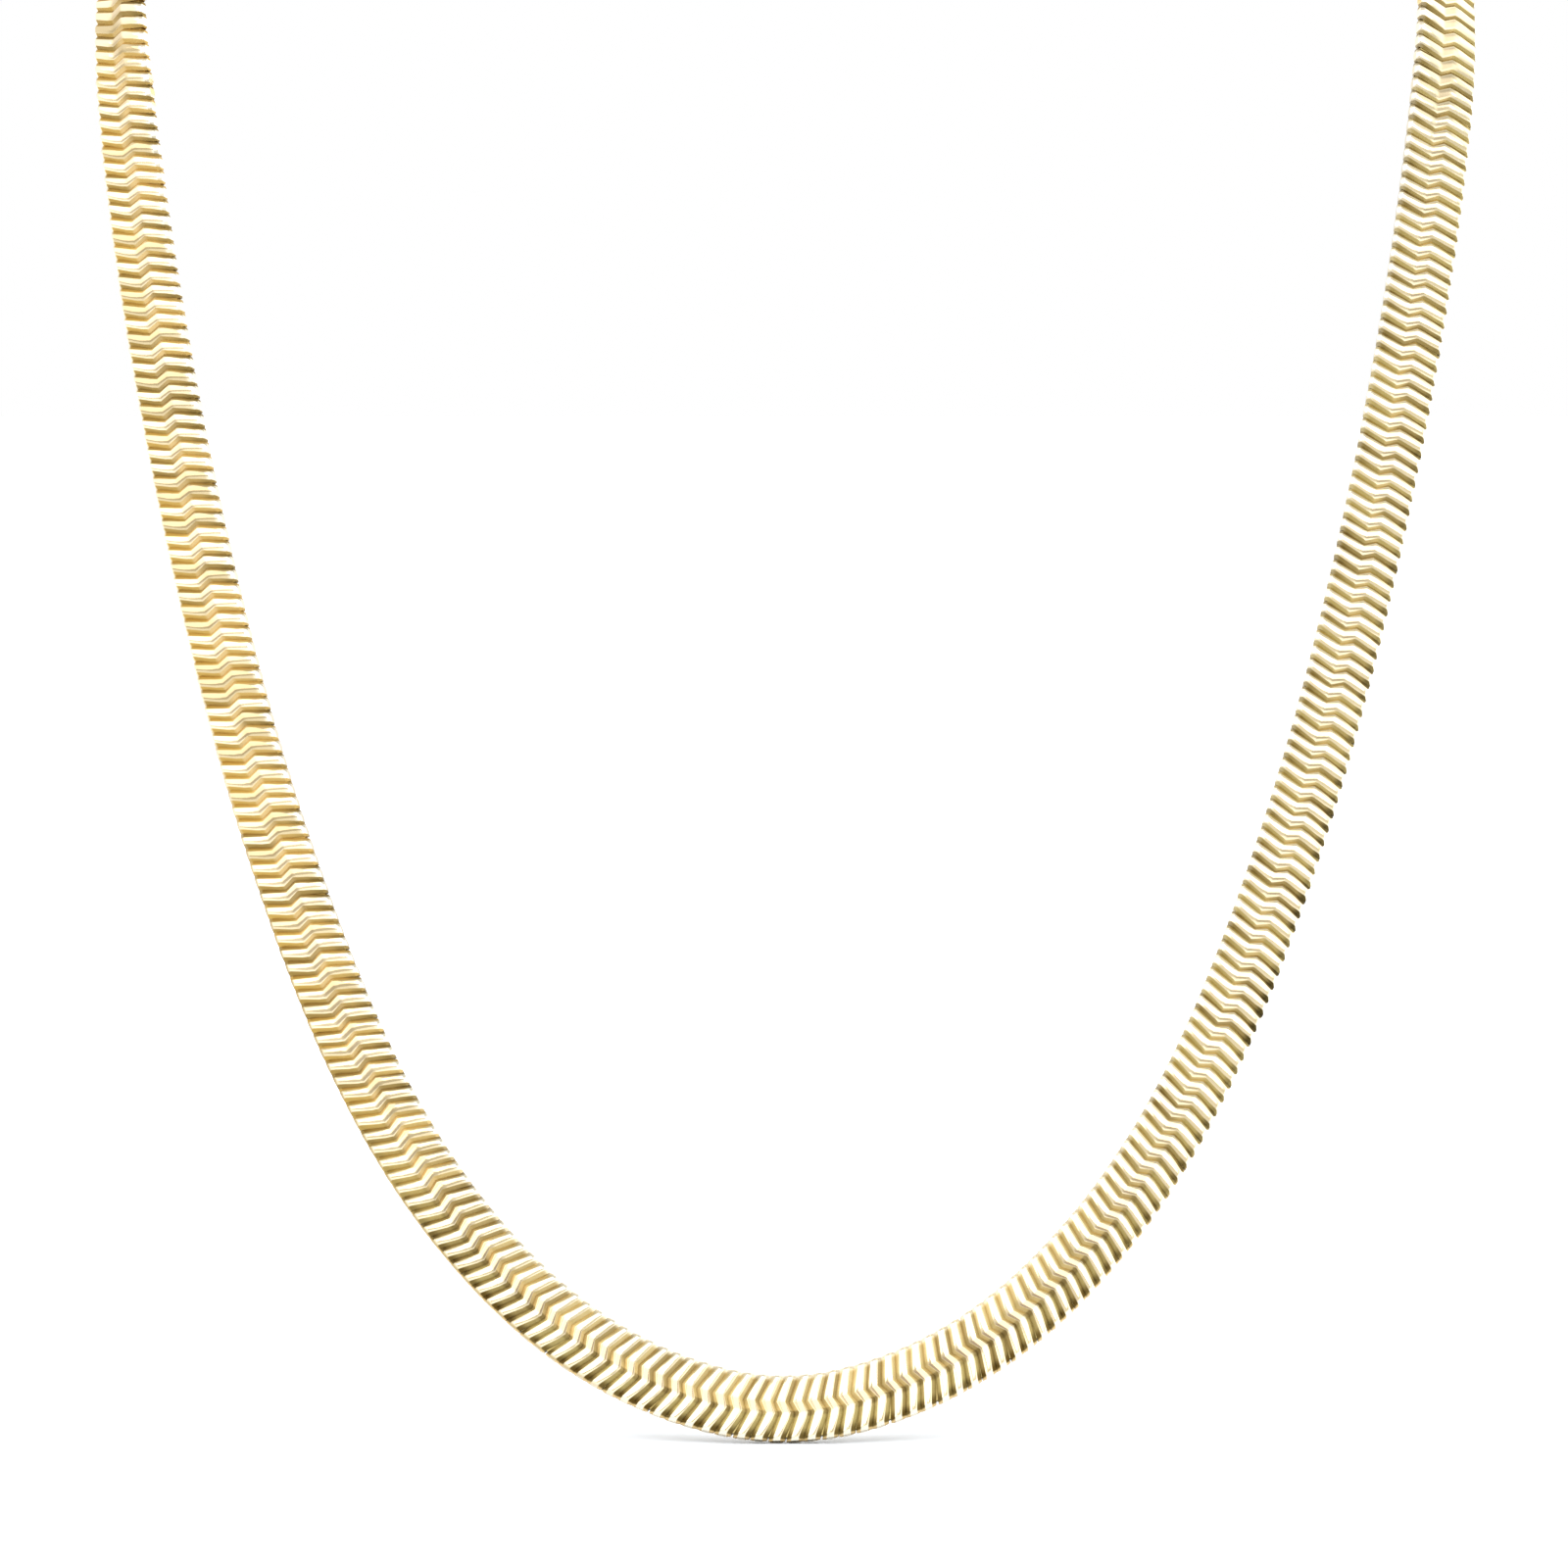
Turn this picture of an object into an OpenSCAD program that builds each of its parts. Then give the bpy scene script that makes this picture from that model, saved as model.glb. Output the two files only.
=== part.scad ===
// Flat snake chain necklace in the shape that it takes when it is worn.
// The front hangs at -Y, +Z is up, and the chain is one closed loop through its clasp.
// The origin is the middle of the neck opening, level with the chain at the nape.
// The links are too many and too fine to be solids of their own, so the chain is
// one solid band of the chain's true width, thickness, length, bend and twist.

/* [Chain] */
// Width of the chain across its flat face
chain_w = 5.5; // [4.5:0.1:6.5]
// Thickness of the chain
chain_t = 1.25; // [1:0.05:1.5]
// Distance along the chain between the sections that the band is swept through
section_step = 2.8; // [2.5:0.1:6]

/* [Clasp] */
// Length of the clasp along the chain
clasp_l = 16; // [14:0.5:18]
// Wall of the clasp round the chain's end
clasp_wall = 0.65; // [0.5:0.05:1]
// Radius of the clasp's long edges
clasp_edge_r = 0.8; // [0.4:0.1:0.9]
// Depth of the pocket that each end of the chain goes into
pocket_l = 4; // [3:0.5:5]
// Gap between the end of the chain and the walls of its pocket
pocket_gap = 0.2; // [0.15:0.05:0.3]

/* [Hidden] */

// Half of the loop, from the lowest point in front up the right side to the nape.
// The route is a smooth curve that these points steer, and the left half mirrors it.
// The turns say how far the flat face looks away from the front on each side, and
// the lean says how far it looks up, all in degrees.
X = 0;
Y = 1;
Z = 2;
RIGHT_TURN = 3;
LEFT_TURN = 4;
LEAN = 5;
half_route = [
    [0, -42, -133.5, 0, 0, 24],
    [9, -41.5, -131.5, 1, 2, 24],
    [17, -40, -127.5, 2, 4, 24],
    [24, -37.5, -121.5, 3, 6, 24],
    [30.5, -34, -113.5, 4, 8, 24],
    [36, -30, -103.5, 4, 13, 24],
    [40.5, -25.5, -92.5, 4, 19, 24],
    [44.5, -21, -81, 4, 23, 23],
    [48, -16, -68.5, 4, 25, 23],
    [51, -11, -56, 4, 26, 22],
    [53.5, -6.5, -43.5, 4, 26, 22],
    [55.5, -2, -31, 8, 29, 21],
    [57, 3, -18.5, 28, 42, 19],
    [56.5, 11, -8.5, 62, 68, 15],
    [52.5, 21, -2.5, 95, 96, 11],
    [45, 30, -0.5, 122, 122, 7],
    [34.5, 37, 0, 146, 146, 3],
    [23, 41.5, 0, 163, 163, 1],
    [11.5, 43, 0, 175, 175, 0],
    [0, 43, 0, 180, 180, 0],
];
nape = len(half_route) - 1;

// The whole loop from the nape down the left side and up the right, a row for each
// steering point, with the direction that the flat face looks there
PLACE = 0;
FACING = 1;
function facing(turn, lean) =
    [sin(turn) * cos(lean), -cos(turn) * cos(lean), sin(lean)];
function loop_row(row, side, turn) =
    [[side * row[X], row[Y], row[Z]], facing(side * turn, row[LEAN])];
loop_rows = concat(
    [for (i = [nape:-1:1]) loop_row(half_route[i], -1, half_route[i][LEFT_TURN])],
    [for (i = [0:nape - 1]) loop_row(half_route[i], 1, half_route[i][RIGHT_TURN])]
);
spans = len(loop_rows);

// Shares of the four steering points round a place that lies u of the way along a
// span of a cubic B-spline, and the slopes of those shares
function shares(u) = [
    pow(1 - u, 3),
    3 * pow(u, 3) - 6 * pow(u, 2) + 4,
    -3 * pow(u, 3) + 3 * pow(u, 2) + 3 * u + 1,
    pow(u, 3)
] / 6;
function slopes(u) = [
    -pow(1 - u, 2),
    3 * pow(u, 2) - 4 * u,
    -3 * pow(u, 2) + 2 * u + 1,
    pow(u, 2)
] / 2;

// The place, heading and facing of the chain at t, which counts spans from the nape
function unit(v) = v / norm(v);
function nearby(t, column) =
    [for (k = [-1:2]) loop_rows[(floor(t) + k + spans) % spans][column]];
function place(t) = shares(t - floor(t)) * nearby(t, PLACE);
function heading(t) = unit(slopes(t - floor(t)) * nearby(t, PLACE));
function outward(t) =
    let (ahead = heading(t), rough = shares(t - floor(t)) * nearby(t, FACING))
    unit(rough - (rough * ahead) * ahead);

// Length along the loop against t, measured in short straight steps
steps_per_span = 8;
steps = spans * steps_per_span;
stops = [for (j = [0:steps]) place(j / steps_per_span)];
measured = [
    for (j = 0, run = 0; j <= steps;
         run = run + (j < steps ? norm(stops[j + 1] - stops[j]) : 0), j = j + 1)
    [run, j / steps_per_span]
];
loop_l = measured[steps][0];
function t_at(run) = lookup(run, measured);

// The two ends of the chain, each just short of the bottom of its pocket
chain_from = clasp_l / 2 - pocket_l + pocket_gap;
chain_to = loop_l - chain_from;
sections = round((chain_to - chain_from) / section_step);

// Outline of the chain's section, with the width along X, the outward side along +Y
// and round edges
edge_r = chain_t / 2;
edge_turn = 45;
function round_edge(side, from) = [
    for (a = [from:edge_turn:from + 180])
        [side * (chain_w / 2 - edge_r) + edge_r * cos(a), edge_r * sin(a)]
];
outline = concat(round_edge(1, -90), round_edge(-1, 90));
corners = len(outline);

// Sweeps the outline along the loop, with one ring of points for each section
module flat_chain() {
    rings = [
        for (k = [0:sections])
            let (t = t_at(chain_from + (chain_to - chain_from) * k / sections),
                 middle = place(t), out = outward(t), across = cross(out, heading(t)))
            for (p = outline) middle + p[X] * across + p[Y] * out
    ];
    sides = [
        for (k = [0:sections - 1], i = [0:corners - 1])
            let (a = k * corners + i, b = k * corners + (i + 1) % corners)
            [a, a + corners, b + corners, b]
    ];
    start = [for (i = [0:corners - 1]) i];
    end = [for (i = [corners - 1:-1:0]) sections * corners + i];
    color("gold")
        polyhedron(points = rings, faces = concat(sides, [start, end]), convexity = 10);
}

// Flat bar with round edges, lying along X with its width upright
module flat_bar(length, thickness, width) {
    rotate([90, 0, 90])
        linear_extrude(length, center = true) {
            square([thickness, width - thickness], center = true);
            for (end = [-1, 1])
                translate([0, end * (width - thickness) / 2])
                    circle(d = thickness, $fn = 32);
        }
}

// Bar with straight sides and round long edges, lying along X with its width upright
module soft_bar(length, thickness, width, edge) {
    rotate([90, 0, 90])
        linear_extrude(length, center = true) {
            square([thickness - 2 * edge, width], center = true);
            square([thickness, width - 2 * edge], center = true);
            for (x = [-1, 1], y = [-1, 1])
                translate([x * (thickness / 2 - edge), y * (width / 2 - edge)])
                    circle(r = edge, $fn = 32);
        }
}

// Plain sleeve that closes the loop at the nape, with a pocket for each chain end
module clasp() {
    pocket_t = chain_t + 2 * pocket_gap;
    pocket_w = chain_w + 2 * pocket_gap;
    overrun = 1;
    color("goldenrod")
        translate(place(0))
            difference() {
                soft_bar(clasp_l, pocket_t + 2 * clasp_wall, pocket_w + 2 * clasp_wall,
                         clasp_edge_r);
                for (side = [-1, 1])
                    translate([side * (clasp_l - pocket_l + overrun) / 2, 0, 0])
                        flat_bar(pocket_l + overrun, pocket_t, pocket_w);
            }
}

flat_chain();
clasp();
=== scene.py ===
# %% [markdown]
# A flat snake chain necklace
#
# The real thing is about 345 thin gold links, pressed flat and hooked into one another
# so closely that they read as one ribbon with wavy lines across it. It hangs in the
# shape that it takes on a neck, and a small sleeve closes it at the nape.
# The chain could be one ribbon with its lines in a bump map, which is quick, but such
# lines go flat wherever light grazes them. Here every link is a piece of metal of its
# own, set along the very curve that the solid model follows, so that the two agree.

# %% Load the solid model that everything is built around
from bisect import bisect_left
from math import cos, floor, radians, sin
from random import Random

import bpy
from mathutils import Matrix, Vector


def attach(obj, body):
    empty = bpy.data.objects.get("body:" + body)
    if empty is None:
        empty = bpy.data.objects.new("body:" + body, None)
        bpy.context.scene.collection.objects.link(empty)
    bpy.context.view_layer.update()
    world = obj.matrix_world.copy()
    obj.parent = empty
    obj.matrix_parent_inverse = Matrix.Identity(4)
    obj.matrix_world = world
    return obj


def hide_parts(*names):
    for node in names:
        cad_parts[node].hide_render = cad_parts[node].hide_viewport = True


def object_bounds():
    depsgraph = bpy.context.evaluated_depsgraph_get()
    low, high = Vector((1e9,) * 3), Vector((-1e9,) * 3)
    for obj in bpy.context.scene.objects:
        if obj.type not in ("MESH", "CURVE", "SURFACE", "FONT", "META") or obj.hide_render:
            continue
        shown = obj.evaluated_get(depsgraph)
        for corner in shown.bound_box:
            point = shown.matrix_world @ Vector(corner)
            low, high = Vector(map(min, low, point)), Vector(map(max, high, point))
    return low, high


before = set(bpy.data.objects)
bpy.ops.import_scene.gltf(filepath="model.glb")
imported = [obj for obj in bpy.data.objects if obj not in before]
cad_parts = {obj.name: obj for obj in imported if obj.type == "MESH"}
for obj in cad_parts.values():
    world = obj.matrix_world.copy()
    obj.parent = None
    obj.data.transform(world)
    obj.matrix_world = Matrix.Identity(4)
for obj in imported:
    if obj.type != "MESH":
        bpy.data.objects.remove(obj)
solid_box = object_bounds()
MM = 0.001
print("solid model, lowest and highest corner:", *solid_box)

# %% [markdown]
# Camera
#
# Product pictures of jewellery are taken with a long lens from well back, so that near
# and far parts keep almost the same size. An orthographic camera would flatten the
# chain altogether, and a short lens would spread its sides, so this is a 198 mm lens
# 70 cm in front of the chain. It stands a little higher than the middle of the chain and
# looks four degrees down.

# %% Camera at the picture's viewing angle
CAMERA_PLACE = Vector((0.0, -736.6, -33.4)) * MM
CAMERA_DOWN = radians(4)
# Focal length and width of the film, in the millimetres that a camera takes
CAMERA_LENS = 198
FILM_WIDTH = 36
camera_data = bpy.data.cameras.new("camera")
camera_data.lens = CAMERA_LENS
camera_data.sensor_width = FILM_WIDTH
camera = bpy.data.objects.new("camera", camera_data)
camera.location = CAMERA_PLACE
camera.rotation_euler = (radians(90) - CAMERA_DOWN, 0, 0)
bpy.context.scene.collection.objects.link(camera)
bpy.context.scene.camera = camera
print("camera stands", round(-CAMERA_PLACE.y, 3), "m in front of the neck")

# %% [markdown]
# Small helpers for nodes
#
# Finishes and the light are made of nodes. Setting up each node by hand takes several
# lines and hides the idea, so `Signal` wraps one number that varies over a surface and
# lets a sum or a product be written as plain arithmetic. `Nodes` adds any other node in
# one call, and names the four steps that come up again and again.

# %% Arithmetic on what a node gives
class Signal:
    """The output of a node, used as a number."""

    def __init__(self, nodes, socket):
        self.nodes, self.socket = nodes, socket

    def math(self, operation, a, b):
        return self.nodes.signal("ShaderNodeMath", {"operation": operation}, {0: a, 1: b})

    def __add__(self, other):
        return self.math("ADD", self, other)

    def __radd__(self, other):
        return self.math("ADD", other, self)

    def __sub__(self, other):
        return self.math("SUBTRACT", self, other)

    def __rsub__(self, other):
        return self.math("SUBTRACT", other, self)

    def __mul__(self, other):
        return self.math("MULTIPLY", self, other)

    def __rmul__(self, other):
        return self.math("MULTIPLY", other, self)


print("sums, differences and products work on node outputs")


# %% One method for every other node
class Nodes:
    """The node tree of one material or of the world."""

    def __init__(self, owner):
        owner.use_nodes = True
        self.tree = owner.node_tree
        self.tree.nodes.clear()

    def add(self, kind, settings=None, inputs=None):
        node = self.tree.nodes.new(kind)
        for name, value in (settings or {}).items():
            setattr(node, name, value)
        for name, value in (inputs or {}).items():
            if isinstance(value, Signal):
                value = value.socket
            if isinstance(value, bpy.types.NodeSocket):
                self.tree.links.new(value, node.inputs[name])
            else:
                node.inputs[name].default_value = value
        return node

    def signal(self, kind, settings=None, inputs=None, output=0):
        return Signal(self, self.add(kind, settings, inputs).outputs[output])

    def ramp(self, value, low, high, start=0.0, end=1.0):
        """A number that eases from start to end as value goes from low to high."""
        return self.signal("ShaderNodeMapRange", {"interpolation_type": "SMOOTHSTEP"},
                           {0: value, 1: low, 2: high, 3: start, 4: end})

    def larger(self, a, b):
        return self.signal("ShaderNodeMath", {"operation": "MAXIMUM"}, {0: a, 1: b})

    def blend(self, share, a, b):
        """Colour a where share is 0, and colour b where it is 1."""
        a, b = ((*colour, 1) if isinstance(colour, tuple) else colour for colour in (a, b))
        mix = self.add("ShaderNodeMix", {"data_type": "RGBA"}, {"Factor": share, 6: a, 7: b})
        return mix.outputs[2]

    def finish(self, inputs):
        """The surface shader with those inputs, as the last node of a material."""
        skin = self.add("ShaderNodeBsdfPrincipled", None, inputs)
        self.add("ShaderNodeOutputMaterial", None, {"Surface": skin.outputs[0]})
        return len(self.tree.nodes)


print("any node takes one line from here on")

# %% [markdown]
# Floor
#
# The necklace is photographed on white paper, with its lowest link all but touching it.
# The paper is a single plane, so large that its edge is lost against the white room. It
# is made greyer than real paper and lit harder instead: that way the little shadow under
# the chain stays as deep as in the picture while the open paper still turns plain white.

# %% Paper floor, just under the lowest link
FLOOR_GAP = 0.12 * MM
FLOOR_SIDE = 6000 * MM
PAPER_GREY = (0.335, 0.345, 0.36, 1)
floor_height = solid_box[0].z - FLOOR_GAP
bpy.ops.object.select_all(action="DESELECT")
bpy.ops.mesh.primitive_plane_add(size=FLOOR_SIDE, location=(0, 0, floor_height))
floor_plane = bpy.context.object
floor_plane.name = "floor"

paper = bpy.data.materials.new("floor_paper")
Nodes(paper).finish({"Base Color": PAPER_GREY, "Roughness": 0.9,
                     "Specular IOR Level": 0.1})
floor_plane.data.materials.append(paper)
print("floor at", round(floor_height * 1000, 2), "mm")

# %% [markdown]
# Lamps
#
# Polished gold shows hardly any colour where it mirrors a lamp: it goes white. So the
# studio has two very large softboxes, one in front and one to the left, both above the
# chain, for the flat faces of its links to mirror. Area lamps would do, but their light
# falls off across the floor. A sun lamp that is fifty degrees wide looks the same in the
# metal and lights the floor evenly. A third lamp almost straight above gives the
# paper its white and the chain its short shadow, and the gold doesn't mirror it.

# %% Two softboxes and an overhead lamp
def sun(name, strength, azimuth, height, width, mirrored=True):
    """A lamp very far off, with its place and width in degrees. Azimuth 0 is in front."""
    lamp = bpy.data.lights.new(name, "SUN")
    lamp.energy, lamp.angle = strength, radians(width)
    holder = bpy.data.objects.new(name, lamp)
    holder.visible_glossy = mirrored
    a, h = radians(azimuth), radians(height)
    towards = Vector((sin(a) * cos(h), -cos(a) * cos(h), sin(h)))
    holder.rotation_euler = towards.to_track_quat("Z", "Y").to_euler()
    bpy.context.scene.collection.objects.link(holder)
    print(name, "is", width, "degrees wide and", height, "degrees up")


sun("softbox_left", strength=0.72, azimuth=-58, height=40, width=50)
sun("softbox_front", strength=1.25, azimuth=7, height=48, width=52)
sun("overhead", strength=8.8, azimuth=165, height=82, width=125, mirrored=False)

# %% [markdown]
# The room
#
# Whatever isn't a lamp is mirrored too, so the walls of the studio give the gold its
# warm and cool sides. They could be planes round the chain, but those would throw
# shadows and show in other views. The world's background does it with no geometry: the
# front of the room is a little dimmer than the gold needs to go white, the sides and
# the back are brighter so that the chain's edges stay light, and the camera itself sees
# plain white.

# %% Room light, and a white backdrop for the camera
FRONT_LEFT, FRONT_RIGHT = (0.88, 0.84, 0.78), (0.72, 0.73, 0.72)
BRIGHT_BACK, BRIGHT_RIGHT = (1.35, 1.35, 1.35), (1.8, 1.8, 1.8)
FAR_WALL, FAR_CEILING = (0.85, 0.83, 0.80), (1.3, 1.28, 1.25)
world = bpy.data.worlds.new("studio")
bpy.context.scene.world = world
nodes = Nodes(world)
direction = nodes.add("ShaderNodeTexCoord").outputs["Generated"]
split = nodes.add("ShaderNodeSeparateXYZ", None, {0: direction})
right, back, up = (Signal(nodes, axis) for axis in split.outputs)
below_ceiling = nodes.ramp(up, 0.9, 0.7)
room = nodes.blend(nodes.ramp(right, -0.8, 0.8), FRONT_LEFT, FRONT_RIGHT)
room = nodes.blend(nodes.ramp(back, -0.45, 0.15) * below_ceiling, room, BRIGHT_BACK)
room = nodes.blend(nodes.ramp(right, 0.35, 0.75) * below_ceiling, room, BRIGHT_RIGHT)
far = nodes.blend(nodes.ramp(up, 0.0, 0.4), FAR_WALL, FAR_CEILING)
room = nodes.blend(nodes.ramp(back, 0.6, 0.9), room, far)
dim = nodes.add("ShaderNodeBackground", None, {"Color": room})
white = nodes.add("ShaderNodeBackground", None, {"Color": (1, 1, 1, 1)})
seen_by_camera = nodes.signal("ShaderNodeLightPath")
both = nodes.add("ShaderNodeMixShader", None,
                 {0: seen_by_camera, 1: dim.outputs[0], 2: white.outputs[0]})
nodes.add("ShaderNodeOutputWorld", None, {"Surface": both.outputs[0]})
bpy.context.scene.view_settings.view_transform = "Standard"
print("room light has", len(nodes.tree.nodes), "nodes")

# %% [markdown]
# The way that the chain runs
#
# A worn chain lies on the collar bones, twists over the shoulders and stands on edge
# round the nape. The solid ribbon was swept along a smooth curve that twenty points on
# each side steer, and the links have to sit on that same curve, so the points are
# repeated here with their turns and leans. Measuring the ribbon's mesh would work too,
# but its flat facets would show as kinks in the row of links, and a smooth curve has none.

# %% Steering points of half the loop, from the lowest point to the nape
# x, y, z in millimetres, then how far the face turns away from the front on the right
# and on the left side, and how far it leans back, in degrees
HALF_ROUTE = [
    (0, -42, -133.5, 0, 0, 24),
    (9, -41.5, -131.5, 1, 2, 24),
    (17, -40, -127.5, 2, 4, 24),
    (24, -37.5, -121.5, 3, 6, 24),
    (30.5, -34, -113.5, 4, 8, 24),
    (36, -30, -103.5, 4, 13, 24),
    (40.5, -25.5, -92.5, 4, 19, 24),
    (44.5, -21, -81, 4, 23, 23),
    (48, -16, -68.5, 4, 25, 23),
    (51, -11, -56, 4, 26, 22),
    (53.5, -6.5, -43.5, 4, 26, 22),
    (55.5, -2, -31, 8, 29, 21),
    (57, 3, -18.5, 28, 42, 19),
    (56.5, 11, -8.5, 62, 68, 15),
    (52.5, 21, -2.5, 95, 96, 11),
    (45, 30, -0.5, 122, 122, 7),
    (34.5, 37, 0, 146, 146, 3),
    (23, 41.5, 0, 163, 163, 1),
    (11.5, 43, 0, 175, 175, 0),
    (0, 43, 0, 180, 180, 0),
]


def facing(turn, lean):
    """The direction that a face looks in, from its turn and its lean."""
    turn, lean = radians(turn), radians(lean)
    return Vector((sin(turn) * cos(lean), -cos(turn) * cos(lean), sin(lean)))


places, facings = [], []
for x, y, z, right_turn, left_turn, lean in HALF_ROUTE[:0:-1]:
    places.append(Vector((-x, y, z)) * MM)
    facings.append(facing(-left_turn, lean))
for x, y, z, right_turn, left_turn, lean in HALF_ROUTE[:-1]:
    places.append(Vector((x, y, z)) * MM)
    facings.append(facing(right_turn, lean))
SPANS = len(places)
print(SPANS, "steering points round the loop")

# %% [markdown]
# The chain is limp across its links and stiff edgewise, so its line has no corners and
# no sudden changes of bend. A cubic B-spline is such a line: every place on it is drawn
# by the four nearest points, each by a share that fades in and out. A Bezier curve would
# pass through the points, but it takes two handles for each and kinks where they differ.

# %% Place, heading and outward direction anywhere on the loop
def pull(points, shares, t):
    """The four points round t, each by its share."""
    near = [points[(floor(t) + k) % SPANS] for k in (-1, 0, 1, 2)]
    return sum((s * p for s, p in zip(shares, near)), Vector())


def place_at(t):
    """Centre of the chain at t spans from the nape, and roughly the way it faces."""
    u = t - floor(t)
    shares = ((1 - u) ** 3, 3 * u**3 - 6 * u**2 + 4,
              -3 * u**3 + 3 * u**2 + 3 * u + 1, u**3)
    return [pull(points, shares, t) / 6 for points in (places, facings)]


def axes_at(t):
    """Centre, heading, inward and outward direction of the chain at t."""
    u = t - floor(t)
    slopes = (-((1 - u) ** 2), 3 * u**2 - 4 * u, -3 * u**2 + 2 * u + 1, u**2)
    heading = pull(places, slopes, t).normalized()
    centre, rough = place_at(t)
    out = (rough - rough.dot(heading) * heading).normalized()
    return centre, heading, out.cross(heading), out


STEPS_PER_SPAN = 24
stops = [place_at(j / STEPS_PER_SPAN)[0] for j in range(SPANS * STEPS_PER_SPAN + 1)]
runs = [0.0]
for a, b in zip(stops, stops[1:]):
    runs.append(runs[-1] + (b - a).length)
print("loop is", round(runs[-1] * 1000, 1), "mm long")


# %% From a length along the chain to its place
def t_at(run):
    """Where on the spline a length along the loop ends."""
    j = bisect_left(runs, run, lo=1)
    part = (run - runs[j - 1]) / (runs[j] - runs[j - 1])
    return (j - 1 + part) / STEPS_PER_SPAN


def frame_at(run):
    """The matrix that puts a link with its length on X and its face on Z at run."""
    centre, heading, inward, out = axes_at(t_at(run))
    turned = Matrix((heading, inward, out)).transposed().to_4x4()
    return Matrix.Translation(centre) @ turned


lowest_place = frame_at(runs[-1] / 2).translation
print("lowest point of the chain's middle line:", round(lowest_place.z * 1000, 1), "mm")

# %% [markdown]
# One link
#
# A link is a bar right across the chain, pressed into a shallow wave, with a flat face
# that falls away towards its neighbours. Between two links that leaves the groove that
# draws the wavy line. A sculpted link with round edges would need hundreds of faces, and
# there are 345 of them, so this one starts as a box, and only the four edges at its tips,
# which make the rims of the chain, are bevelled.

# %% A bar with bevelled tips
CHAIN_WIDTH = 5.5 * MM
CHAIN_THICKNESS = 1.25 * MM
PITCH = 1.3 * MM
LINK_LENGTH = 1.4 * MM
LINK_EDGE = 0.28 * MM
# Two places this near each other count as one
NEAR = 0.01 * MM
# Two directions count as one where the cosine of the angle between them is above this
ALIGNED = 0.99


def box(name, size):
    """A box of that size round the origin, in edit mode, all selected."""
    bpy.ops.object.select_all(action="DESELECT")
    bpy.ops.mesh.primitive_cube_add(size=1, location=(0, 0, 0))
    piece = bpy.context.object
    piece.name = name
    bpy.ops.transform.resize(value=size)
    bpy.ops.object.transform_apply(location=True, rotation=True, scale=True)
    bpy.ops.object.mode_set(mode="EDIT")
    return piece


def select(piece, kind, wanted):
    """Selects the vertices, edges or faces for which wanted(element, mesh) is true."""
    bpy.ops.mesh.select_mode(type=kind)
    bpy.ops.mesh.select_all(action="DESELECT")
    bpy.ops.object.mode_set(mode="OBJECT")
    mesh = piece.data
    parts = {"VERT": mesh.vertices, "EDGE": mesh.edges, "FACE": mesh.polygons}[kind]
    for part in parts:
        part.select = bool(wanted(part, mesh))
    bpy.ops.object.mode_set(mode="EDIT")


def runs_along_x(edge, mesh):
    """Whether an edge runs the way that the chain does."""
    a, b = (mesh.vertices[i].co for i in edge.vertices)
    return abs((b - a).normalized().x) > ALIGNED


link = box("link", (LINK_LENGTH, CHAIN_WIDTH, CHAIN_THICKNESS))
select(link, "EDGE", runs_along_x)
bpy.ops.mesh.bevel(offset=LINK_EDGE, segments=1, affect="EDGES")
bpy.ops.object.mode_set(mode="OBJECT")
print("bevelled bar has", len(link.data.polygons), "faces")

# %% [markdown]
# The wave has two knees near the middle of the chain and runs almost straight from each
# knee to its edge. Subdividing the bar evenly would spend faces where nothing bends. A
# table lists the few places that matter instead, and the bar is bisected just there,
# and from tip to tip where the flat face ends and the slope into the groove begins.

# %% Cuts where the wave bends and where the face starts to fall away
# For each place across the chain: how far it is pushed along, half the length of the
# flat face there, and half the length of the whole link there, all in millimetres
BENDS = [
    (-2.75, -0.62, 0.20, 0.67),
    (-2.47, -0.54, 0.24, 0.69),
    (-1.1, 0.04, 0.29, 0.70),
    (-0.5, 0.24, 0.28, 0.70),
    (0.45, -0.21, 0.28, 0.70),
    (0.95, -0.03, 0.29, 0.70),
    (2.47, 0.54, 0.23, 0.65),
    (2.75, 0.58, 0.18, 0.60),
]
FACE_HALF = 0.27 * MM


def cut(at, across):
    """Bisects the piece that is being edited, by the plane at that place."""
    bpy.ops.mesh.select_all(action="SELECT")
    bpy.ops.mesh.bisect(plane_co=at, plane_no=across)


bpy.ops.object.mode_set(mode="EDIT")
for v, push, half, reach in BENDS[2:-2]:
    cut((0, v * MM, 0), (0, 1, 0))
for side in (-1, 1):
    cut((side * FACE_HALF, 0, 0), (1, 0, 0))
bpy.ops.object.mode_set(mode="OBJECT")
print("after the cuts it has", len(link.data.polygons), "faces")

# %% [markdown]
# The press leaves each link thick in its middle and thin where it dips under its
# neighbour. A bevel of the crosswise edges would give the same slope with more faces.
# Scaling the two ends towards the middle plane keeps the count as it is.

# %% Pinch both ends, so that the face falls away into the groove
GROOVE_DEPTH = 0.3 * MM
END_NARROWING = 0.04 * MM
narrower = 1 - 2 * END_NARROWING / CHAIN_WIDTH
thinner = 1 - 2 * GROOVE_DEPTH / CHAIN_THICKNESS


def at_end(point, mesh):
    """Whether a point is on one of the two ends of the link."""
    return abs(point.co.x) > LINK_LENGTH / 2 - NEAR


bpy.ops.object.mode_set(mode="EDIT")
select(link, "VERT", at_end)
bpy.ops.transform.resize(value=(1, narrower, thinner), center_override=(0, 0, 0))
bpy.ops.object.mode_set(mode="OBJECT")
print("ends are", round(link.dimensions.z * thinner * 1000, 2), "mm thick")
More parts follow.
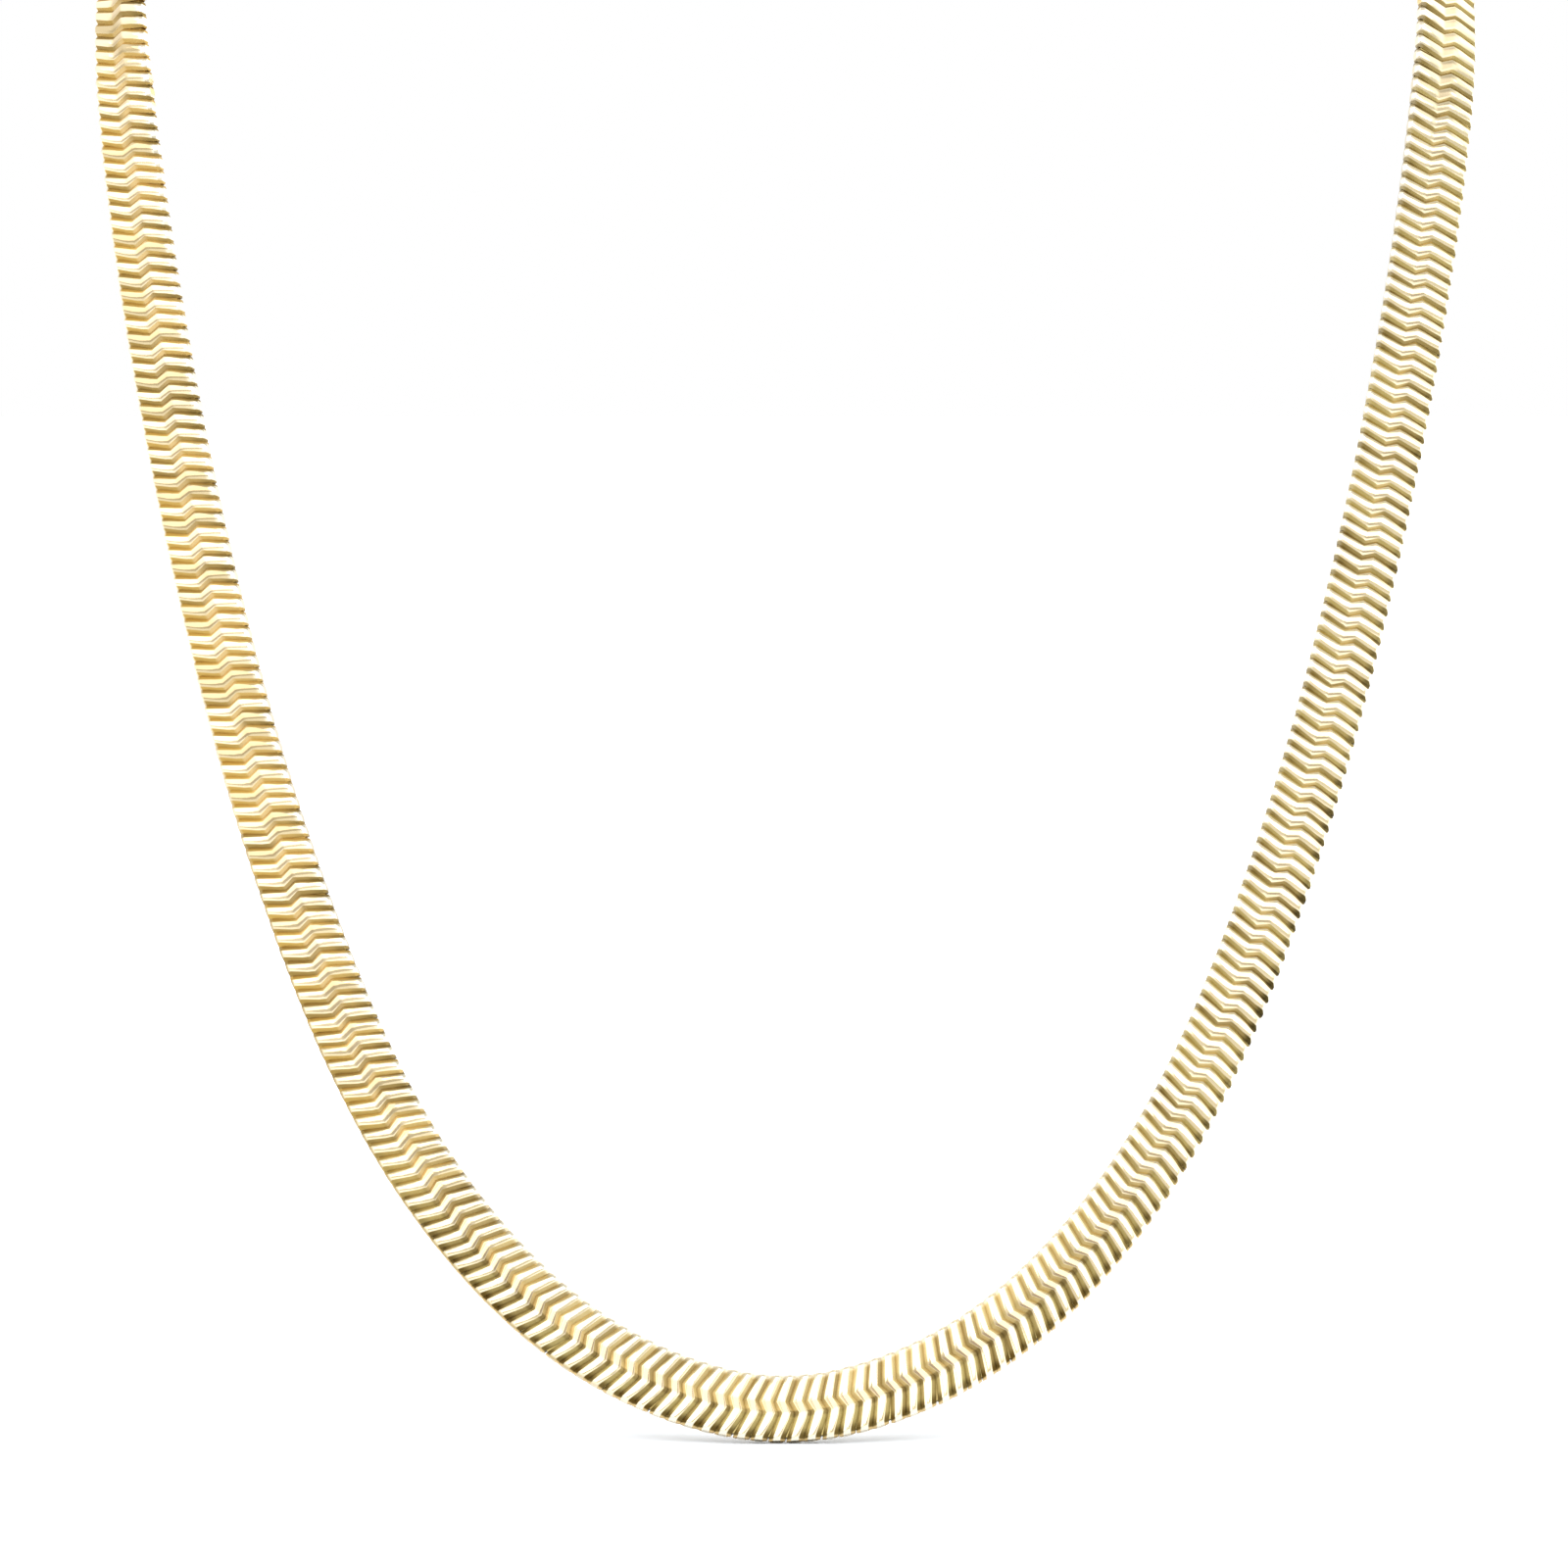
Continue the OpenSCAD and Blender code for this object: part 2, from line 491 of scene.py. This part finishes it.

# %% [markdown]
# The finish of a link depends on where a point lies on it: polish reaches the face but not the
# groove, and the painted shade follows the groove too. After the links are joined that can't
# be told from their place any more, so each point carries it as a mark, which a material can
# read. Painted masks would do the same with an image for every link. Shade and tint stay empty
# until the link is copied, because they differ from link to link.

# %% Mark how far down the groove and how far across each point is
LINK_MARKS = ("groove", "across", "inside", "shade", "tint")
for name in LINK_MARKS:
    link.data.attributes.new(name, "FLOAT", "POINT")
for v in link.data.vertices:
    down = (abs(v.co.x) - FACE_HALF) / (LINK_LENGTH / 2 - FACE_HALF)
    link.data.attributes["groove"].data[v.index].value = max(0.0, down)
    link.data.attributes["across"].data[v.index].value = v.co.y / (CHAIN_WIDTH / 2)
    link.data.attributes["inside"].data[v.index].value = float(v.co.z < 0)
print("marks on", len(link.data.vertices), "points:", *LINK_MARKS)

# %% [markdown]
# Now the bar takes its wave. A lattice or a curve modifier could bend it, but both round
# off the knees. Moving each row of points by what the table says keeps them crisp, and
# the same step tapers the face towards the tips.

# %% Push every row of points into the wave
def bend_at(v):
    """Push, half of the face and half of the link at v across the chain, in metres."""
    v = v / MM
    for (v0, *low), (v1, *high) in zip(BENDS, BENDS[1:]):
        if v <= v1 or v1 == BENDS[-1][0]:
            part = (v - v0) / (v1 - v0)
            return [(a + (b - a) * part) * MM for a, b in zip(low, high)]


def stretch(wanted, share):
    """Lengthens or shortens the points that are wanted, away from the middle."""
    select(link, "VERT", wanted)
    bpy.ops.transform.resize(value=(share, 1, 1), center_override=(0, 0, 0))


# The pinched ends lie a hair nearer to the middle than the face does, so they are rows
# of their own, and a row takes in only what is this near to it, in millimetres
ROW_REACH = 0.006
rows = sorted({round(v.co.y / MM, 2) for v in link.data.vertices})
bpy.ops.object.mode_set(mode="EDIT")
for row in rows:
    push, half, reach = bend_at(row * MM)
    in_row = lambda v, mesh: abs(v.co.y / MM - row) < ROW_REACH
    stretch(lambda v, mesh: in_row(v, mesh) and abs(v.co.x) < FACE_HALF + NEAR,
            half / FACE_HALF)
    stretch(lambda v, mesh: in_row(v, mesh) and at_end(v, mesh), 2 * reach / LINK_LENGTH)
    select(link, "VERT", in_row)
    bpy.ops.transform.translate(value=(push, 0, 0))
bpy.ops.object.mode_set(mode="OBJECT")
print("waved link has", len(link.data.polygons), "faces in", len(rows), "rows")

# %% [markdown]
# Smooth shading decides how round so few faces look. Smoothed all over, the link would
# look like soap, and flat it would look cut from card. A limit of 40 degrees smooths the
# gentle slopes into the face and keeps the steeper bevels at its tips crisp, as on a
# link that was stamped and then polished.

# %% Soft slopes and crisp tips
SMOOTH_UP_TO = radians(40)
bpy.ops.object.select_all(action="DESELECT")
link.select_set(True)
bpy.context.view_layer.objects.active = link
bpy.ops.object.shade_smooth_by_angle(angle=SMOOTH_UP_TO)
print("smooth up to 40 degrees")

# %% [markdown]
# Each real link is hooked round a hidden part of the next one, so no daylight shows
# through a groove, even where the chain bends and the links fan out. Modelling the hooks
# would add faces that nobody can see. A plain bar inside each link, a little longer than
# the pitch, closes the grooves in the same place. It is thinner at one end, so that the
# bars of two neighbours never share a surface.

# %% The inner bar that closes the groove behind the link
BAR_LENGTH = PITCH + 0.3 * MM
BAR_WIDTH = 4.9 * MM
BAR_THICKNESS = 0.58 * MM
BAR_THIN_END = 0.9
BAR_MARKS = {"groove": 1.0, "across": -0.5, "inside": 0.0}
bar = box("bar", (BAR_LENGTH, BAR_WIDTH, BAR_THICKNESS))
select(bar, "VERT", lambda v, mesh: v.co.x > 0)
bpy.ops.transform.resize(value=(1, 1, BAR_THIN_END), center_override=(0, 0, 0))
bpy.ops.object.mode_set(mode="OBJECT")
for name, value in BAR_MARKS.items():
    marks = bar.data.attributes.new(name, "FLOAT", "POINT")
    for point in marks.data:
        point.value = value
bpy.ops.object.select_all(action="DESELECT")
bar.select_set(True)
link.select_set(True)
bpy.context.view_layer.objects.active = link
bpy.ops.object.join()
print("with its inner bar it has", len(link.data.polygons), "faces")

# %% [markdown]
# The whole chain
#
# Rigid links can't stretch, so where the chain bends they fan out: they crowd together
# on the inside of the bend and open up on the outside. An array on a curve would
# stretch each link to fit. Setting rigid copies along the curve, one by one, gives the
# fan for nothing. A real chain has also been worn, so every copy leans, turns, slips and
# differs in length by a hair, and each half of it carries numbers that let its gold
# differ a little.

# %% Copy the link along the curve
CLASP_LENGTH = 16 * MM
POCKET_DEPTH = 4 * MM
POCKET_GAP = 0.2 * MM
chain_from = CLASP_LENGTH / 2 - POCKET_DEPTH + POCKET_GAP
chain_length = runs[-1] - 2 * chain_from
wave = max(abs(push) for v, push, half, reach in BENDS) * MM
links = round(chain_length / PITCH)
step = (chain_length - 2 * wave - PITCH) / (links - 1)
first = chain_from + (chain_length - step * (links - 1)) / 2
# How far wear moves a link at most: two angles in degrees, a length and a share
MOST_LEAN, MOST_TURN, MOST_SLIP, MOST_STRETCH = 1.5, 1.0, 0.045 * MM, 0.04
luck = Random(5)


def wear(most):
    """A number between -most and most."""
    return luck.uniform(-most, most)


copies = []
for k in range(links):
    copy = link.copy()
    copy.data = link.data.copy()
    lean = Matrix.Rotation(radians(wear(MOST_LEAN)), 4, "Y")
    turn = Matrix.Rotation(radians(wear(MOST_TURN)), 4, "Z")
    slip = Matrix.Translation((wear(MOST_SLIP), 0, 0))
    longer = Matrix.Diagonal((1 + wear(MOST_STRETCH), 1, 1, 1))
    copy.data.transform(frame_at(first + step * k) @ slip @ turn @ lean @ longer)
    outer, inner = [(luck.random(), luck.random()) for half in range(2)]
    marks = copy.data.attributes
    for point, shade, tint in zip(*(marks[name].data for name in ("across", "shade", "tint"))):
        shade.value, tint.value = outer if point.value < 0 else inner
    bpy.context.scene.collection.objects.link(copy)
    copies.append(copy)
print(links, "links", round(step * 1000, 3), "mm apart")

# %% Join the copies into one piece
bpy.ops.object.select_all(action="DESELECT")
for copy in copies:
    copy.select_set(True)
bpy.context.view_layer.objects.active = copies[0]
bpy.ops.object.join()
chain = bpy.context.object
chain.name = "chain_links"
bpy.data.objects.remove(link)
print("the chain has", len(chain.data.polygons), "faces")

# %% [markdown]
# Gold of the links
#
# A chain like this is tumbled until it shines. That polishes the faces and hardly reaches into
# the grooves, which stay satin. The grooves are also painted darker, as shade, and darkest in
# the corners where two links meet. One plain gold left to the lamps looks like plastic at this
# size, because a groove is only a few pixels wide. So the colour follows the marks that each
# link carries. The two sides of the chain also stood in different light for the picture, a
# warmer one on the left, and the colour follows the place on the chain for that, as painted
# light.

# %% What the gold reads: marks of the link and its place on the chain
gold = bpy.data.materials.new("polished_gold_links")
nodes = Nodes(gold)
groove, across, inside, shade, tint = (
    nodes.signal("ShaderNodeAttribute", {"attribute_name": name}, output=2)
    for name in LINK_MARKS)
where = nodes.add("ShaderNodeTexCoord").outputs["Object"]
split = nodes.add("ShaderNodeSeparateXYZ", None, {0: where})
right, back, up = (Signal(nodes, axis) for axis in split.outputs)
to_right = nodes.ramp(right, -45 * MM, 0.0)
low = nodes.ramp(up, -105 * MM, -125 * MM)
right_or_low = nodes.larger(to_right, low)
middle = nodes.ramp(across * across, 0.07, 0.01)
outer_rim = nodes.ramp(across, -0.86, -0.97)
inner_rim = nodes.ramp(across, 0.78, 0.96)
print("the chain's gold reads", len(LINK_MARKS), "marks and its place")

# %% [markdown]
# Grooves
#
# In a groove the metal sees mostly its own neighbour, so it lies in shade, and that shade is
# painted into its gold, which is deeper. Its hue is painted light too: on the left, in warmer
# light, it is orange, on the right and below it leans to olive, and at the bottom the inner
# half is lighter than the outer. It is lightest at the middle, a painted highlight where the
# wave turns up to the light. Some links are darker than others.

# %% Gold down in the grooves
ORANGE_OUTSIDE, ORANGE_INSIDE = (0.50, 0.32, 0.08), (0.53, 0.355, 0.115)
OLIVE_RIGHT = (0.42, 0.325, 0.12)
OLIVE_LOW_OUTSIDE, OLIVE_LOW_INSIDE = (0.38, 0.30, 0.115), (0.56, 0.435, 0.20)
LIT_MIDDLE = (0.68, 0.495, 0.23)
DARKER_LINK = (0.22, 0.15, 0.05)
# Painted shade and light: the groove gold is darker than the face, and its hue changes with
# the side of the chain and with height.
left_stroke = nodes.blend(nodes.ramp(across, -1, 1), ORANGE_OUTSIDE, ORANGE_INSIDE)
stroke = nodes.blend(to_right, left_stroke, OLIVE_RIGHT)
stroke = nodes.blend(low * nodes.ramp(across, 0.0, 0.5), stroke, OLIVE_LOW_INSIDE)
stroke = nodes.blend(low * nodes.ramp(across, 0.0, -0.3), stroke, OLIVE_LOW_OUTSIDE)
# Painted highlight where the wave turns at the middle.
stroke = nodes.blend(middle * (0.8 - 0.4 * to_right), stroke, LIT_MIDDLE)
stroke = nodes.blend(nodes.ramp(shade, 0.3, 1.0) * 0.7, stroke, DARKER_LINK)
print("groove colours follow the side of the chain")

# %% [markdown]
# The darkest spots are small: the tips of the links at the chain's edges, and the outer knee
# of the wave at the bottom, where two links meet in a corner. Both are painted shade: the
# outer tips only on the right and at the bottom, and more so lower down. At the bottom a thin
# painted highlight along the outer rim closes the tips off.
# Ambient occlusion would find such corners too, but it is slow and depends on the
# renderer, so the spots are placed by the marks.

# %% Painted shade at tips and knees, and a painted rim highlight
PAINTED_TIP_SHADE, PAINTED_LOW_TIP_SHADE = (0.07, 0.05, 0.015), (0.10, 0.06, 0.012)
PAINTED_RIM_HIGHLIGHT = (0.85, 0.62, 0.28)
PAINTED_KNEE_SHADE = (0.16, 0.11, 0.035)
PAINTED_INNER_TIP_SHADE = (0.19, 0.13, 0.035)
lower_down = nodes.ramp(up, -20 * MM, -110 * MM, 0.1, 1.0)
# Painted shade at the outer tips of the links, on the right and at the bottom, deeper lower
# down.
tip = nodes.ramp(across, -0.62, -0.88) * right_or_low * lower_down
tip = tip * nodes.larger(nodes.ramp(shade, 0.2, 0.8, 0.5, 1.0), low * 0.85)
stroke = nodes.blend(tip * (1 - low), stroke, PAINTED_TIP_SHADE)
stroke = nodes.blend(tip * low, stroke, PAINTED_LOW_TIP_SHADE)
# Painted highlight: a thin lighter gold along the outer rim at the bottom.
low_outer_rim_highlight = nodes.ramp(across, -0.93, -0.99) * low
stroke = nodes.blend(low_outer_rim_highlight * 0.8, stroke, PAINTED_RIM_HIGHLIGHT)
# Painted shade in the outer knee of the wave at the bottom.
knee = nodes.ramp(across, -0.34, -0.24) * nodes.ramp(across, -0.08, -0.14) * low
stroke = nodes.blend(knee * nodes.ramp(shade, 0.0, 0.5, 0.3, 0.8), stroke, PAINTED_KNEE_SHADE)
# Painted shade at the inner tips of the links, above the bottom.
inner_tip = nodes.ramp(across, 0.45, 0.8) * (1 - low) * nodes.ramp(shade, 0.2, 0.8)
stroke = nodes.blend(inner_tip * 0.55, stroke, PAINTED_INNER_TIP_SHADE)
print("tips and knees are darker")

# %% [markdown]
# Faces
#
# A polished face is pale gold that goes white in the lamps. Not all are alike: a face that was
# pressed a degree off mirrors the room and looks creamy instead, a reflection that is painted
# into its colour, more on the left. At the middle of the wave the face is painted darker, as a
# dimmer reflection. Towards the nape the gold is fuller. The rims get a painted highlight, a
# light edge, except the outer rim low on the left, which gets painted shade.

# %% Gold of the polished faces
PALE_GOLD, RIM_SHEEN_GOLD = (1.0, 0.86, 0.57), (1.0, 0.94, 0.78)
DIM_REFLECTION_GOLD, CREAMY_GOLD = (0.49, 0.375, 0.24), (0.56, 0.44, 0.24)
NAPE_GOLD, SHADED_GOLD = (1.0, 0.79, 0.43), (0.38, 0.27, 0.10)
# Painted reflection: the middle of the face is darker, as if it mirrored the dimmer room
# instead of a lamp.
dim_middle_reflection = middle * (0.6 + 0.3 * low) * nodes.ramp(groove, 0.0, 0.1, 1.0, 0.2)
crown = nodes.blend(dim_middle_reflection, PALE_GOLD, DIM_REFLECTION_GOLD)
# Painted reflection: some faces, more on the left, are creamy, as if they mirrored the room
# instead of a lamp.
creamy = nodes.ramp(tint, 0.3, 0.8) * (0.85 - 0.65 * right_or_low)
crown = nodes.blend(creamy, crown, CREAMY_GOLD)
nape_side = nodes.larger(inside, nodes.ramp(back, 8 * MM, 28 * MM))
crown = nodes.blend(nape_side, crown, NAPE_GOLD)
# Painted shade on the outer rim, low on the left side of the chain.
left_side = nodes.ramp(to_right, 0.95, 0.6)
lower_left = outer_rim * nodes.ramp(up, -70 * MM, -95 * MM) * left_side
crown = nodes.blend(lower_left * 0.8, crown, SHADED_GOLD)
# Painted highlight: the rims, apart from the outer rim low on the left, are lighter, as if
# they mirrored the bright room.
edge_wear_and_sheen = nodes.larger(outer_rim * (1 - lower_left), nodes.ramp(across, 0.75, 0.95))
crown = nodes.blend(edge_wear_and_sheen * 0.8, crown, RIM_SHEEN_GOLD)
print("faces are pale, and paler where the rims are worn")

# %% [markdown]
# From face to groove
#
# The change from one gold to the other is what draws the wavy lines. It starts a little
# below the edge of the face, later at the middle and at the very tips, so that each line
# is thick halfway to the edge and blunt at its end. Satin metal is rougher, so the
# roughness follows the same mask, and a fine grain left by the tumbling breaks up both.

# %% Lines between the links, and the grain of the polish
# The lines are drawn thinner on the right strand, so that more pale face shows there to go
# white in the lamps: a painted highlight.
narrow = (0.11 + 0.12 * middle - 0.1 * tip) * to_right * (1 - low)
narrow = narrow + 0.13 * tint * (1 - 0.6 * low)
narrow = narrow + nodes.ramp(across, -0.92, -1.0) * (0.1 + 0.4 * to_right) * (1 - 0.8 * low)
narrow = narrow + nodes.ramp(across, 0.92, 1.0) * 0.2
narrow = narrow + nodes.ramp(across, 0.5, 0.9) * (1 - right_or_low) * 0.16
# Painted highlights: the outer rim high on the left, and the inner rim on the right and at the
# bottom, keep the pale face colour instead of the groove's, as if they mirrored the bright
# room.
upper_left_rim_highlight = outer_rim * nodes.ramp(up, -100 * MM, -70 * MM) * (1 - to_right)
low_inner_rim_highlight = inner_rim * nodes.ramp(up, -100 * MM, -125 * MM, 0.25, 1.0) * right_or_low
deep = nodes.ramp(groove - narrow, 0.0, 0.22) * (1 - 0.8 * upper_left_rim_highlight) * (1 - 0.7 * low_inner_rim_highlight)
grain = nodes.signal("ShaderNodeTexNoise", None, {"Vector": where, "Scale": 2500, "Detail": 3})
scratched = nodes.add("ShaderNodeBump", None,
                      {"Strength": 0.12, "Distance": 0.02 * MM, "Height": grain})
count = nodes.finish({"Base Color": nodes.blend(deep, crown, stroke), "Metallic": 1.0,
                      "Roughness": 0.08 + 0.12 * grain + 0.28 * deep,
                      "Normal": scratched.outputs[0]})
chain.data.materials.clear()
chain.data.materials.append(gold)
print("the chain's gold has", count, "nodes")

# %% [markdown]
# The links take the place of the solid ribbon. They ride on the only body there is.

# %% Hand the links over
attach(chain, "root")
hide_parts("flat_chain")
print(chain.name, "takes the place of flat_chain")

# %% [markdown]
# The clasp
#
# The picture doesn't show how the necklace closes, so the fastening is as plain as it can
# be: one flat sleeve at the nape, with a pocket at each end for the end of the chain. It
# could be cut from the solid with booleans, but those leave ragged faces. It starts as a
# bar as wide as the chain and its walls. Its long edges are bevelled round, and it is cut
# lengthwise where its crown will fall away.

# %% A bar with round long edges
CLASP_WALL = 0.65 * MM
CLASP_EDGE = 0.8 * MM
clasp_width = CHAIN_WIDTH + 2 * POCKET_GAP + 2 * CLASP_WALL
clasp_thickness = CHAIN_THICKNESS + 2 * POCKET_GAP + 2 * CLASP_WALL
sleeve = box("clasp_sleeve", (CLASP_LENGTH, clasp_thickness, clasp_width))
select(sleeve, "EDGE", runs_along_x)
bpy.ops.mesh.bevel(offset=CLASP_EDGE, segments=5, affect="EDGES")
# How far from the middle the cuts for the crown are, in millimetres, and how much each
# thins all that lies further out
CROWN = [(0.0, 1.0), (1.4, 0.985), (2.8, 0.945)]
for v, thin in CROWN:
    for side in (-1, 1):
        cut((0, 0, side * v * MM), (0, 0, 1))
print("clasp is", round(clasp_width * 1000, 2), "by", round(clasp_thickness * 1000, 2), "mm")

# %% [markdown]
# The chain's ends go into the sleeve. Each end face is inset by the thickness of the wall
# and pushed in, which makes a true pocket with an inner wall. That is done while the bar
# is still straight: the wall is nearly as thick as the edges are round, and there an
# outline with the least dent in it would fold over itself when it is inset.

# %% A pocket in each end
for side in (-1, 1):
    select(sleeve, "FACE", lambda face, mesh: face.normal.x * side > ALIGNED)
    bpy.ops.mesh.inset(thickness=CLASP_WALL)
    bpy.ops.mesh.extrude_region_move(
        TRANSFORM_OT_translate={"value": (-side * POCKET_DEPTH, 0, 0)})
print("pockets are", round(POCKET_DEPTH * 1000, 1), "mm deep")

# %% [markdown]
# A dead flat face on a piece of jewellery looks like sheet metal. A caster crowns it: the
# middle stands a little higher than the sides, and a highlight rolls over it. Thinning the
# sleeve in two steps, round edges and all, does that and leaves the pockets straight. A
# subdivision surface would round off the ends as well.

# %% Broad faces that are slightly crowned
pocket_thickness = clasp_thickness - 2 * CLASP_WALL
pocket_width = clasp_width - 2 * CLASP_WALL


def outside_pocket(point):
    """Whether a point is on the outer skin of the sleeve."""
    return (abs(point.co.y) > pocket_thickness / 2 + NEAR
            or abs(point.co.z) > pocket_width / 2 + NEAR)


for v, thin in CROWN[1:]:
    select(sleeve, "VERT", lambda point, mesh: abs(point.co.z) > v * MM - NEAR
           and outside_pocket(point))
    bpy.ops.transform.resize(value=(1, thin, 1), center_override=(0, 0, 0))
thinned = CROWN[1][1] * CROWN[2][1]
print("crown falls by", round((1 - thinned) * clasp_thickness * 500, 2), "mm a side")

# %% [markdown]
# The lips of the pockets are bevelled, or they would look cut out of paper.

# %% Soft lips
LIP = 0.12 * MM
select(sleeve, "FACE", lambda face, mesh: abs(face.normal.x) > ALIGNED
       and abs(face.center.x) > CLASP_LENGTH / 2 - NEAR)
bpy.ops.mesh.region_to_loop()
bpy.ops.mesh.bevel(offset=LIP, segments=2, affect="EDGES")
bpy.ops.mesh.select_all(action="SELECT")
bpy.ops.transform.translate(value=place_at(0)[0])
bpy.ops.object.mode_set(mode="OBJECT")
bpy.ops.object.shade_smooth_by_angle(angle=SMOOTH_UP_TO)
print("clasp sleeve has", len(sleeve.data.polygons), "faces")

# %% [markdown]
# Gold of the clasp
#
# A clasp is handled every day, so it gets a brushed finish that hides scratches, with
# fine lines along its length. Skin polishes its edges bright again. Real brush marks
# could be modelled, but they are far finer than a hair: noise that is stretched along the
# sleeve gives them, in colour, in roughness and in a faint bump.

# %% Brush marks and worn edges
clasp_gold = bpy.data.materials.new("brushed_gold_clasp")
nodes = Nodes(clasp_gold)
where = nodes.add("ShaderNodeTexCoord").outputs["Object"]
along = nodes.add("ShaderNodeMapping", None, {"Vector": where, "Scale": (60, 4000, 4000)})
brushed = nodes.signal("ShaderNodeTexNoise", None,
                       {"Vector": along.outputs[0], "Scale": 1.0, "Detail": 4})
cloud = nodes.signal("ShaderNodeTexNoise", None, {"Vector": where, "Scale": 260, "Detail": 2})
away = nodes.add("ShaderNodeVectorMath", {"operation": "ABSOLUTE"}, {0: where})
split = nodes.add("ShaderNodeSeparateXYZ", None, {0: away.outputs[0]})
end_way, side_way = (Signal(nodes, split.outputs[i]) for i in (0, 2))
# How far from an edge the wear begins, and how far from it the metal is rubbed bright
WEAR_FROM, WEAR_TO = 0.8 * MM, 0.3 * MM
edge_wear_and_sheen = nodes.larger(
    nodes.ramp(end_way, CLASP_LENGTH / 2 - WEAR_FROM, CLASP_LENGTH / 2 - WEAR_TO),
    nodes.ramp(side_way, clasp_width / 2 - WEAR_FROM, clasp_width / 2 - WEAR_TO))
print("brush marks run along the clasp, and its edges are worn")

# %% Gold of the clasp, put together
DEEP_BRUSHED, LIGHT_BRUSHED = (0.90, 0.62, 0.25), (1.0, 0.72, 0.34)
RUBBED_EDGE = (1.0, 0.80, 0.46)
tone = nodes.blend(nodes.ramp(cloud, 0.3, 0.7), DEEP_BRUSHED, LIGHT_BRUSHED)
tone = nodes.blend(edge_wear_and_sheen * 0.7, tone, RUBBED_EDGE)
lines = nodes.add("ShaderNodeBump", None,
                  {"Strength": 0.25, "Distance": 0.03 * MM, "Height": brushed * (1 - edge_wear_and_sheen)})
count = nodes.finish({"Base Color": tone, "Metallic": 1.0,
                      "Roughness": (0.16 + 0.2 * brushed) * (1 - 0.6 * edge_wear_and_sheen),
                      "Normal": lines.outputs[0]})
sleeve.data.materials.append(clasp_gold)
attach(sleeve, "root")
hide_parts("clasp")
print("the clasp's gold has", count, "nodes")
